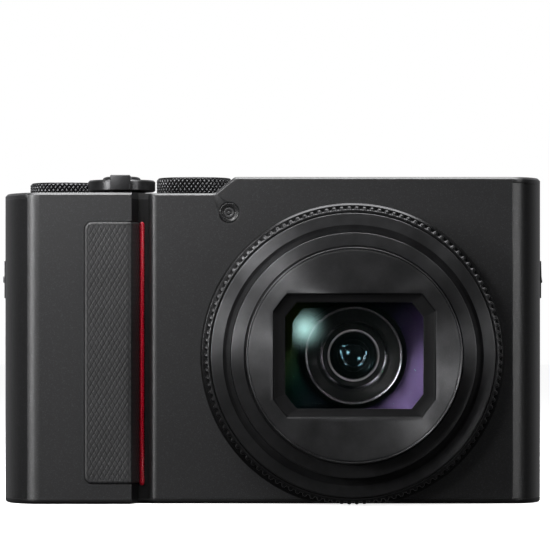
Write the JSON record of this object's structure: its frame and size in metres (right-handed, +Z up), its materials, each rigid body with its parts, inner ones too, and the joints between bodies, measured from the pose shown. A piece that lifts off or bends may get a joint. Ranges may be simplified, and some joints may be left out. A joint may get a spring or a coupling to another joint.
{
  "type": "compact digital camera",
  "caption": "Pocket-size compact camera with a telescoping zoom lens and control ring, top dials and lever, pop-up flash, rear screen, eyepiece, battery door and tripod socket.",
  "frame": {"origin": "centre of the mouth of the tripod socket, on the base plane", "axes": "+Z up, -Y the way the lens looks, +X to the right of someone facing the lens"},
  "size_m": [0.1124, 0.0582, 0.0675],
  "materials": {
    "body_paint": "dark charcoal satin paint with a fine metallic speckle on formed aluminium",
    "grip_rubber": "soft black elastomer moulded with small diamond lozenges",
    "red_accent": "deep red lacquered strip",
    "dark_steel": "blackened steel",
    "lamp_lens": "clear moulded lens",
    "ring_metal": "black anodised aluminium, lathe-turned",
    "barrel_plastic": "matt black",
    "bezel_plastic": "fine-textured black",
    "optical_glass": "coated optical glass",
    "inner_plastic": "black glass-filled plastic",
    "sensor": "ceramic package with cover glass",
    "motor_metal": "plated can",
    "circuit_board": "green solder mask",
    "battery_case": "dark grey moulded case",
    "socket_metal": "nickel-plated",
    "capacitor_sleeve": "black heat-shrink sleeve",
    "screw_steel": "black oxide",
    "screen_glass": "black glass over a dark display",
    "eyepiece_rubber": "matt black rubber",
    "blade_metal": "black sheet metal",
    "dial_metal": "black anodised, diamond knurled rim, turned top",
    "button_metal": "black anodised, turned top",
    "button_plastic": "satin black",
    "flash_diffuser": "milky ribbed diffuser"
  },
  "bodies": {
    "root": {"front_cover": "body_paint", "grip_cover": "body_paint", "top_cover": "body_paint", "bottom_cover": "body_paint", "rear_cover": "body_paint", "side_cover_left": "body_paint", "side_cover_right": "body_paint", "grip_pad": "grip_rubber", "grip_accent": "red_accent", "strap_lug_left": "dark_steel", "strap_lug_right": "dark_steel", "af_lamp_lens": "lamp_lens", "lens_base_ring": "ring_metal", "lens_sleeve": "ring_metal", "lens_housing": "inner_plastic", "image_sensor": "sensor", "zoom_motor": "motor_metal", "main_board": "circuit_board", "battery": "battery_case", "battery_holder": "inner_plastic", "port_sockets": "socket_metal", "flash_capacitor": "capacitor_sleeve", "tripod_socket": "socket_metal", "body_screws": "screw_steel", "screen_unit": "screen_glass", "eyepiece_frame": "eyepiece_rubber", "eyepiece_lens": "optical_glass", "thumb_rest": "grip_rubber"},
    "control_ring": {"control_ring": "ring_metal"},
    "lens_outer": {"barrel_outer": "ring_metal"},
    "lens_inner": {"barrel_inner": "barrel_plastic", "front_bezel": "bezel_plastic", "front_element": "optical_glass"},
    "zoom_group": {"zoom_group": "inner_plastic"},
    "barrier_upper_inner": {"barrier_upper_inner": "blade_metal"},
    "barrier_upper_outer": {"barrier_upper_outer": "blade_metal"},
    "barrier_lower_inner": {"barrier_lower_inner": "blade_metal"},
    "barrier_lower_outer": {"barrier_lower_outer": "blade_metal"},
    "mode_dial": {"mode_dial": "dial_metal"},
    "control_dial": {"control_dial": "dial_metal"},
    "zoom_lever": {"zoom_lever": "dial_metal"},
    "shutter_button": {"shutter_button": "button_metal"},
    "movie_button": {"movie_button": "button_plastic"},
    "power_switch": {"power_switch": "button_plastic"},
    "flash_arm": {"flash_arm": "blade_metal"},
    "flash_release": {"flash_release": "button_plastic"},
    "diopter_wheel": {"diopter_wheel": "button_plastic"},
    "cursor_gimbal": {"cursor_gimbal": "inner_plastic"},
    "cursor_pad": {"cursor_pad": "button_plastic"},
    "set_button": {"set_button": "button_plastic"},
    "port_door": {"port_door": "button_plastic"},
    "battery_door": {"battery_door": "body_paint"},
    "battery_latch": {"battery_latch": "button_plastic"},
    "lvf_button": {"lvf_button": "button_plastic"},
    "af_lock_button": {"af_lock_button": "button_plastic"},
    "playback_button": {"playback_button": "button_plastic"},
    "quick_menu_button": {"quick_menu_button": "button_plastic"},
    "display_button": {"display_button": "button_plastic"},
    "flash_head": {"flash_head": "body_paint", "flash_window": "flash_diffuser"}
  },
  "joints": [
    {"name": "control_ring_turn", "type": "hinge", "parent": "root", "child": "control_ring", "pos_m": [0.0293, -0.0213, 0.03047], "axis": [0, -1, 0], "continuous": true},
    {"name": "lens_zoom", "type": "slide", "parent": "root", "child": "lens_outer", "axis": [0, -1, 0], "range_m": [-0.007, 0.012]},
    {"name": "lens_inner_slide", "type": "slide", "parent": "lens_outer", "child": "lens_inner", "axis": [0, -1, 0], "range_m": [-0.00601, 0.0103]},
    {"name": "zoom_group_slide", "type": "slide", "parent": "root", "child": "zoom_group", "axis": [0, -1, 0], "range_m": [-0.00351, 0.00601]},
    {"name": "barrier_open_close", "type": "slide", "parent": "lens_inner", "child": "barrier_upper_inner", "axis": [0, 0, -1], "range_m": [0, 0.0108]},
    {"name": "barrier_lower_inner_slide", "type": "slide", "parent": "lens_inner", "child": "barrier_lower_inner", "axis": [0, 0, 1], "range_m": [0, 0.01081]},
    {"name": "barrier_upper_outer_slide", "type": "slide", "parent": "lens_inner", "child": "barrier_upper_outer", "axis": [0, 0, -1], "range_m": [0, 0.00641]},
    {"name": "barrier_lower_outer_slide", "type": "slide", "parent": "lens_inner", "child": "barrier_lower_outer", "axis": [0, 0, 1], "range_m": [0, 0.00641]},
    {"name": "mode_dial_turn", "type": "hinge", "parent": "root", "child": "mode_dial", "pos_m": [-0.0034, 0.002, 0.065], "axis": [0, 0, 1], "continuous": true},
    {"name": "control_dial_turn", "type": "hinge", "parent": "root", "child": "control_dial", "pos_m": [-0.03065, 0.0055, 0.065], "axis": [0, 0, 1], "continuous": true},
    {"name": "zoom_lever_turn", "type": "hinge", "parent": "root", "child": "zoom_lever", "pos_m": [-0.01825, -0.0085, 0.065], "axis": [0, 0, 1], "range_deg": [-22, 22], "stiffness_Nm_per_rad": 0.01},
    {"name": "shutter_press", "type": "slide", "parent": "root", "child": "shutter_button", "axis": [0, 0, -1], "range_m": [0, 0.0011], "stiffness_N_per_m": 400, "springref_m": -0.0003},
    {"name": "movie_press", "type": "slide", "parent": "root", "child": "movie_button", "axis": [0, 0, -1], "range_m": [0, 0.0006], "stiffness_N_per_m": 400, "springref_m": -0.0003},
    {"name": "power_switch_slide", "type": "slide", "parent": "root", "child": "power_switch", "axis": [-1, 0, 0], "range_m": [0, 0.003]},
    {"name": "flash_lift", "type": "hinge", "parent": "root", "child": "flash_arm", "pos_m": [0.05, -0.0075, 0.05995], "axis": [1, 0, 0], "range_deg": [0, 60]},
    {"name": "flash_head_level", "type": "hinge", "parent": "flash_arm", "child": "flash_head", "pos_m": [0.05, 0.0035, 0.05995], "axis": [1, 0, 0], "range_deg": [-60, 0]},
    {"name": "flash_release_slide", "type": "slide", "parent": "root", "child": "flash_release", "axis": [-1, 0, 0], "range_m": [0, 0.0018], "stiffness_N_per_m": 400, "springref_m": -0.0003},
    {"name": "diopter_turn", "type": "hinge", "parent": "root", "child": "diopter_wheel", "pos_m": [0.0376, 0.015, 0.05915], "axis": [0, 1, 0], "range_deg": [-150, 150]},
    {"name": "cursor_rock_side", "type": "hinge", "parent": "root", "child": "cursor_gimbal", "pos_m": [-0.0256, 0.01205, 0.0205], "axis": [0, 0, 1], "range_deg": [-2.5, 2.5], "stiffness_Nm_per_rad": 0.03},
    {"name": "cursor_rock_up", "type": "hinge", "parent": "cursor_gimbal", "child": "cursor_pad", "pos_m": [-0.0256, 0.01205, 0.0205], "axis": [1, 0, 0], "range_deg": [-2.5, 2.5], "stiffness_Nm_per_rad": 0.03},
    {"name": "set_press", "type": "slide", "parent": "root", "child": "set_button", "axis": [0, -1, 0], "range_m": [0, 0.0004], "stiffness_N_per_m": 400, "springref_m": -0.0003},
    {"name": "port_door_swing", "type": "hinge", "parent": "root", "child": "port_door", "pos_m": [-0.042, -0.0033, 0.023], "axis": [0, 0, 1], "range_deg": [0, 90]},
    {"name": "battery_door_swing", "type": "hinge", "parent": "root", "child": "battery_door", "pos_m": [-0.023, 0.0064, 0.00092], "axis": [1, 0, 0], "range_deg": [0, 90]},
    {"name": "battery_latch_slide", "type": "slide", "parent": "battery_door", "child": "battery_latch", "axis": [0, -1, 0], "range_m": [0, 0.0022]},
    {"name": "lvf_press", "type": "slide", "parent": "root", "child": "lvf_button", "axis": [0, -1, 0], "range_m": [0, 0.0005], "stiffness_N_per_m": 400, "springref_m": -0.0003},
    {"name": "af_lock_press", "type": "slide", "parent": "root", "child": "af_lock_button", "axis": [0, -1, 0], "range_m": [0, 0.0005], "stiffness_N_per_m": 400, "springref_m": -0.0003},
    {"name": "playback_press", "type": "slide", "parent": "root", "child": "playback_button", "axis": [0, -1, 0], "range_m": [0, 0.0005], "stiffness_N_per_m": 400, "springref_m": -0.0003},
    {"name": "quick_menu_press", "type": "slide", "parent": "root", "child": "quick_menu_button", "axis": [0, -1, 0], "range_m": [0, 0.0005], "stiffness_N_per_m": 400, "springref_m": -0.0003},
    {"name": "display_press", "type": "slide", "parent": "root", "child": "display_button", "axis": [0, -1, 0], "range_m": [0, 0.0005], "stiffness_N_per_m": 400, "springref_m": -0.0003}
  ],
  "couplings": [
    {"joint": "lens_inner_slide", "follows": "lens_zoom", "ratio": 0.85714},
    {"joint": "zoom_group_slide", "follows": "lens_zoom", "ratio": 0.5},
    {"joint": "barrier_lower_inner_slide", "follows": "barrier_open_close", "ratio": 1},
    {"joint": "barrier_upper_outer_slide", "follows": "barrier_open_close", "ratio": 0.59259},
    {"joint": "barrier_lower_outer_slide", "follows": "barrier_open_close", "ratio": 0.59259},
    {"joint": "flash_head_level", "follows": "flash_lift", "ratio": -1}
  ]
}
